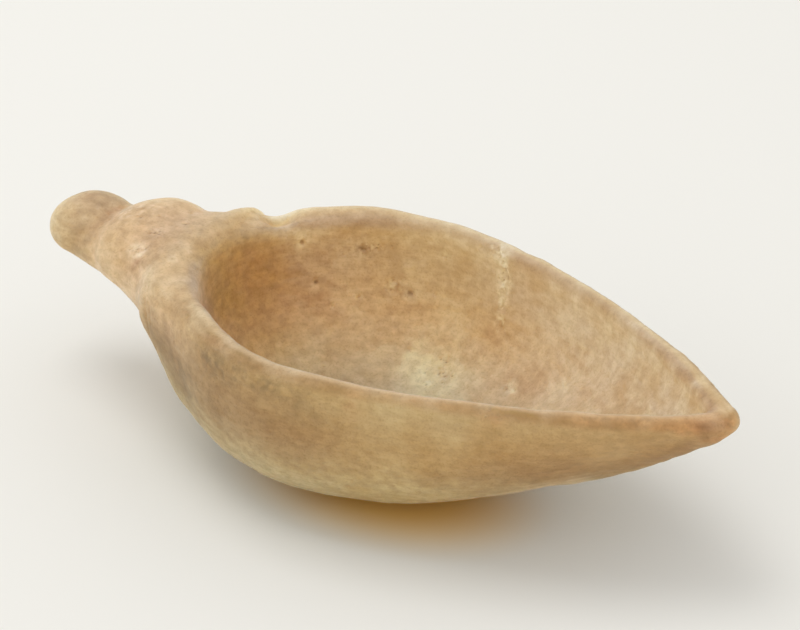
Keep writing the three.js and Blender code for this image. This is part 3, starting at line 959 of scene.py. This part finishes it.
class StonePaint:
    """The stone's colour at each point of its skin, laid on layer by layer."""

    def __init__(self, skin, finish):
        self.skin = skin
        self.finish = finish
        self.uneven = Unevenness(finish.seed + 1)
        self.parts = parts_of(skin)
        self.broken = np.clip(BREAK_LEVEL + self.uneven.waves(skin.points, BREAKS), 0, 1)
        clouds = self.uneven.waves(skin.points, CLOUDS)
        streaks = self.uneven.at(skin.points * STREAK_STRETCH, STREAK_SIZE)
        creamy = np.clip(CLOUD_LEVEL + CLOUD_CONTRAST * clouds + STREAK_CONTRAST * streaks, 0, 1)
        self.colour = blend(self.named("honey"), self.named("cream"), creamy[:, None])

    def named(self, name):
        """A colour of the stone's finish, without its alpha."""
        return np.array(tuple(getattr(self.finish, name))[:3])

    def lay(self, name, share):
        """Lays a colour of the finish over the stone, as thickly as the share says."""
        self.colour = blend(self.colour, self.named(name), np.clip(share, 0, 1)[:, None])

    def tint(self, tint, share):
        """Multiplies the colour by the tint, as far as the share says."""
        self.colour = self.colour * blend(1.0, np.array(tint), share[:, None])

    def tint_parts(self):
        """Tints each part of the dish to what it shows in soft light, mostly with painted light and shade.
        """
        x, y, z = self.skin.points.T
        pale_back = PALE_BACK * smooth_step(z, *PALE_BACK_HEIGHT) * smooth_step(x, *PALE_BACK_START)
        self.tint(OUTSIDE_PAINTED_SHADE, self.parts["outside"] * (1 - pale_back))
        pale_lip = PALE_LIP * smooth_step(y, *PALE_LIP_SIDE) * smooth_step(x, *PALE_LIP_START)
        by_handle = blend(LIP_BY_HANDLE, 1.0, smooth_step(x, *LIP_FROM_HANDLE))
        self.tint(LIP_TONE_AND_PAINTED_SHADE, self.parts["lip"] * (1 - pale_lip) * by_handle)
        axes = {"x": x, "y": y, "z": z}
        for part, tint, ranges in AXIS_LIGHT_SHADE_AND_TONES:
            steps = [smooth_step(axes[axis], start, full) for axis, (start, full) in ranges.items()]
            self.tint(tint, self.parts[part] * np.prod(steps, axis=0))
        for part, tint, place, reach in PAINTED_SHADE_PLACES:
            self.tint(tint, self.parts[part] * self.skin.near(place, reach))

    def stains_and_painted_light(self):
        """Lays the stains, the painted shade and the painted glow at their places."""
        for colour, breaking, places in STAINS_AND_PAINTED_LIGHT:
            for place, reach, strength in places:
                stains_and_painted_light = strength * self.skin.near(place, reach)
                self.lay(colour, stains_and_painted_light * blend(1.0, self.broken, breaking))

    def wear(self, sunk):
        """Lays chalk on worn edges, in veins, round the pits and along the crack, and dirt in them."""
        points = self.skin.points
        self.lay("chalk", LIP_CHALK * self.parts["lip"] * self.uneven.patches(points, *LIP_WEAR))
        veined = self.parts["hollow"] * smooth_step(points[:, 0], *VEIN_START)
        self.lay("chalk", VEIN_CHALK * veined * self.uneven.patches(points * VEIN_STRETCH, *VEINS))
        crumbs = self.uneven.patches(points, *CRUMBS)
        elsewhere = 1 - self.parts["outside"]
        for place, spread, _ in PIT_CLUSTERS:
            crowd = self.skin.near(place, CLUSTER_REACH * np.array(spread))
            self.lay("chalk", CLUSTER_CHALK * elsewhere * crumbs * crowd)
        for place, reach, _ in PITS:
            inner, outer = (self.skin.near(place, times * reach) for times in HALO_REACH)
            self.lay("chalk", HALO_CHALK * (outer - inner) * self.broken)
        self.lay("chalk", CRACK_CHALK * crumbs * self.skin.along(CRACK, CRACK_CHALK_REACH))
        self.lay("dirt", CRACK_DIRT * self.broken * self.skin.along(CRACK, CRACK_DIRT_REACH))
        self.lay("dirt", PIT_DIRT * smooth_step(sunk, *PIT_DIRT_DEPTH))


def paint(skin, sunk, finish):
    """The stone's colour at each point: clouds, streaks, tints of mostly painted light and shade, stains,
    painted shade and glow, worn edges and dirt in the pits.
    """
    stone = StonePaint(skin, finish)
    stone.tint_parts()
    stone.stains_and_painted_light()
    stone.wear(sunk)
    return np.column_stack([stone.colour, np.ones(len(skin.points))])


# The materials

# Sockets of a node that mixes two colours
MIX_SHARE = 0
MIX_FIRST = 6
MIX_SECOND = 7
MIX_RESULT = 2

# Patterns finer than the painted points: scale and detail of the noise, the span of it that is spread
# out, and the tints at the low and the high end of the span
MOTTLE = (600.0, 5.0, (0.38, 0.62), (0.90, 0.885, 0.86, 1.0), (1.08, 1.08, 1.09, 1.0))
STREAKS = (1500.0, 4.0, (0.35, 0.65), (0.935, 0.93, 0.915, 1.0), (1.055, 1.06, 1.07, 1.0))
GRAIN = (2600.0, 4.0, (0.3, 0.5), (0.88, 0.86, 0.82, 1.0), (1.02, 1.02, 1.03, 1.0))
STREAK_FLATTENING = (0.3, 0.3, 1.0)

# Inputs of the stone's bump, of its surface and of the paper's
BUMP = {"Strength": 0.35, "Distance": 0.0001}
STONE = {
    "Roughness": 0.55,
    "Specular IOR Level": 0.35,
    "Subsurface Weight": 1.0,
    "Subsurface Radius": (1.0, 0.75, 0.5),
    "Subsurface Scale": 0.03,
}
PAPER = {"Roughness": 0.9, "Specular IOR Level": 0.2}


def new_material(name):
    """A material without nodes, and a function that adds one, whose inputs are values or sockets."""
    material = bpy.data.materials.new(name)
    material.use_nodes = True
    tree = material.node_tree
    tree.nodes.clear()

    def add(kind, inputs=(), **settings):
        node = tree.nodes.new(kind)
        for setting, value in settings.items():
            setattr(node, setting, value)
        for socket, value in dict(inputs).items():
            if isinstance(value, bpy.types.NodeSocket):
                tree.links.new(value, node.inputs[socket])
            else:
                node.inputs[socket].default_value = value
        return node

    return material, add


def mixed(add, share, first, second, **settings):
    """The mixture of two colours."""
    inputs = {MIX_SHARE: share, MIX_FIRST: first, MIX_SECOND: second}
    return add("ShaderNodeMix", inputs, data_type="RGBA", **settings).outputs[MIX_RESULT]


def finish_stone():
    """The stone's look: translucent calcite in its painted colours, finely mottled."""
    material, add = new_material("calcite")

    def pattern(place, scale, detail, span, low_tint, high_tint):
        """A noise, and the tint that it gives."""
        noise = add("ShaderNodeTexNoise", {"Vector": place, "Scale": scale, "Detail": detail}).outputs[0]
        spread = add("ShaderNodeMapRange", {"Value": noise, "From Min": span[0], "From Max": span[1]})
        return noise, mixed(add, spread.outputs[0], low_tint, high_tint)

    def multiplied(first, second):
        return mixed(add, 1.0, first, second, blend_type="MULTIPLY")

    place = add("ShaderNodeTexCoord").outputs["Object"]
    flattened = add("ShaderNodeMapping", {"Vector": place, "Scale": STREAK_FLATTENING}).outputs[0]
    _, streaks = pattern(flattened, *STREAKS)
    _, mottle = pattern(place, *MOTTLE)
    height, grain = pattern(place, *GRAIN)
    shade = multiplied(multiplied(mottle, streaks), grain)
    painted = add("ShaderNodeAttribute", attribute_name="paint").outputs["Color"]
    bump = add("ShaderNodeBump", {"Height": height, **BUMP}).outputs["Normal"]
    stone = add("ShaderNodeBsdfPrincipled", {
        "Base Color": multiplied(painted, shade), "Normal": bump, **STONE})
    add("ShaderNodeOutputMaterial", {"Surface": stone.outputs[0]})
    return material


# The paper is warm where the light that comes through the stone falls on it, in millimetres
GLOW_PLACE = (6, -6, 0)
GLOW_STRETCH = (1.5, 1.0, 1.0)
GLOW_FULL = 6
GLOW_END = 21


def finish_paper(settings):
    """The floor's look: pale matt paper with the warm light under the dish."""
    material, add = new_material("pale_paper")
    place = add("ShaderNodeTexCoord").outputs["Object"]
    from_glow = add("ShaderNodeMapping", {
        "Vector": place, "Location": Vector(GLOW_PLACE) * MM, "Scale": GLOW_STRETCH,
    }, vector_type="TEXTURE").outputs[0]
    away = add("ShaderNodeVectorMath", {0: from_glow}, operation="LENGTH").outputs["Value"]
    fading = add("ShaderNodeMapRange", {
        "Value": away, "From Min": GLOW_FULL * MM, "From Max": GLOW_END * MM,
    }, interpolation_type="SMOOTHSTEP").outputs[0]
    colour = mixed(add, fading, tuple(settings.glow_colour), tuple(settings.floor_colour))
    paper = add("ShaderNodeBsdfPrincipled", {"Base Color": colour, **PAPER})
    add("ShaderNodeOutputMaterial", {"Surface": paper.outputs[0]})
    return material


# The commands

class STONEDISH_OT_carve(Operator):
    """Carve the dish: bowl, lip, hollow and lobed handle in one skin of stone"""

    bl_idname = "stone_dish.carve"
    bl_label = "Carve the dish"

    def execute(self, context):
        scene = context.scene
        finish = scene.stone_dish_finish
        bowl = Bowl(scene.stone_dish_bowl)
        solids = [bowl.solid()] + handle_solids(scene.stone_dish_handle)
        rough = Skin(one_skin(joined(solids), ROUGH_SIDE))
        blend_handle(rough)
        mesh = one_skin(rough.settled(), finish.fineness / MM)
        mesh.name = "carved_dish"
        skin = Skin(mesh)
        sunk = carve(skin, finish.seed)
        skin.points[:, 2] = np.maximum(skin.points[:, 2], 0)
        colours = mesh.color_attributes.new("paint", "FLOAT_COLOR", "POINT")
        colours.data.foreach_set("color", paint(skin, sunk, finish).ravel())
        mesh.vertices.foreach_set("co", (skin.points * MM).ravel())
        mesh.shade_smooth()
        mesh.update()
        mesh.materials.clear()
        mesh.materials.append(finish_stone())
        dish = bpy.data.objects.new("carved_dish", mesh)
        scene.collection.objects.link(dish)
        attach(dish, "root")
        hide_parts("stone_dish")
        return {"FINISHED"}


class STONEDISH_OT_set_stage(Operator):
    """Set the pale floor, the soft lamps, the even sky and the camera"""

    bl_idname = "stone_dish.set_stage"
    bl_label = "Set the stage"

    def execute(self, context):
        scene = context.scene
        settings = scene.stone_dish_stage
        make_floor(scene, settings)
        make_sky(scene, settings)
        make_lamp(scene, "key_lamp", KEY_LAMP_PLACE, KEY_LAMP_SIDE, settings.key_power)
        make_lamp(scene, "fill_lamp", FILL_LAMP_PLACE, FILL_LAMP_SIDE, settings.fill_power)
        make_camera(scene, settings)
        scene.view_settings.view_transform = "Standard"
        return {"FINISHED"}


# The stage, in metres where nothing else is said

KEY_LAMP_PLACE = (-0.28, -0.02, 0.87)
KEY_LAMP_SIDE = 0.5
FILL_LAMP_PLACE = (-0.62, -0.82, 0.5)
FILL_LAMP_SIDE = 0.7
SKY_COLOUR = (1.0, 0.985, 0.96, 1.0)
CAMERA_PLACE = (318.09, -445.58, 330.01)  # millimetres from the dish's foot
CAMERA_TURN = math.radians(35.2)
CAMERA_DIP = math.radians(29)
SENSOR_WIDTH = 36  # millimetres
NEAREST_SEEN = 0.01


def make_floor(scene, settings):
    """A square sheet of paper that the dish stands on."""
    half = settings.floor_size / 2
    corners = [(-half, -half, 0), (half, -half, 0), (half, half, 0), (-half, half, 0)]
    mesh = bpy.data.meshes.new("floor")
    mesh.from_pydata(corners, [], [(0, 1, 2, 3)])
    mesh.materials.append(finish_paper(settings))
    floor = bpy.data.objects.new("floor", mesh)
    scene.collection.objects.link(floor)


def make_sky(scene, settings):
    """Even light from all round."""
    sky = bpy.data.worlds.new("pale_sky")
    sky.use_nodes = True
    light = sky.node_tree.nodes["Background"]
    light.inputs["Color"].default_value = SKY_COLOUR
    light.inputs["Strength"].default_value = settings.sky_strength
    scene.world = sky


def make_lamp(scene, name, place, side, power):
    """A square soft lamp that faces the dish."""
    lamp = bpy.data.lights.new(name, "AREA")
    lamp.shape = "SQUARE"
    lamp.size = side
    lamp.energy = power
    holder = bpy.data.objects.new(name, lamp)
    holder.location = place
    holder.rotation_euler = Vector(place).to_track_quat("Z", "Y").to_euler()
    scene.collection.objects.link(holder)


def make_camera(scene, settings):
    """The camera as it stood in the photograph: level from side to side, looking down at the dish."""
    camera = bpy.data.cameras.new("camera")
    camera.sensor_fit = "HORIZONTAL"
    camera.sensor_width = SENSOR_WIDTH
    camera.lens = settings.lens
    camera.clip_start = NEAREST_SEEN
    holder = bpy.data.objects.new("camera", camera)
    holder.location = Vector(CAMERA_PLACE) * MM
    holder.rotation_euler = (math.pi / 2 - CAMERA_DIP, 0, CAMERA_TURN)
    scene.collection.objects.link(holder)
    scene.camera = holder


class STONEDISH_PT_panel(Panel):
    """Sizes, colours and commands of the stone dish"""

    bl_idname = "STONEDISH_PT_panel"
    bl_label = "Stone dish"
    bl_space_type = "VIEW_3D"
    bl_region_type = "UI"
    bl_category = "Stone dish"

    def draw(self, context):
        layout = self.layout
        for group in (context.scene.stone_dish_bowl, context.scene.stone_dish_handle,
                      context.scene.stone_dish_finish, context.scene.stone_dish_stage):
            box = layout.box()
            for name in group.bl_rna.properties.keys():
                if name not in ("rna_type", "name"):
                    box.prop(group, name)
        for operator in OPERATORS:
            layout.operator(operator.bl_idname)


GROUPS = {
    "stone_dish_bowl": BowlSizes,
    "stone_dish_handle": HandleSizes,
    "stone_dish_finish": StoneFinish,
    "stone_dish_stage": StageSettings,
}
OPERATORS = (STONEDISH_OT_carve, STONEDISH_OT_set_stage)
CLASSES = (*GROUPS.values(), *OPERATORS, STONEDISH_PT_panel)


def register():
    """Makes the settings, the commands and the panel known."""
    for cls in CLASSES:
        bpy.utils.register_class(cls)
    for name, group in GROUPS.items():
        setattr(bpy.types.Scene, name, PointerProperty(type=group))


def unregister():
    """Takes them away again."""
    for name in GROUPS:
        delattr(bpy.types.Scene, name)
    for cls in reversed(CLASSES):
        bpy.utils.unregister_class(cls)


def main():
    """Makes the dish and its stage."""
    register()
    bpy.ops.stone_dish.carve()
    bpy.ops.stone_dish.set_stage()


if __name__ == "__main__":
    main()
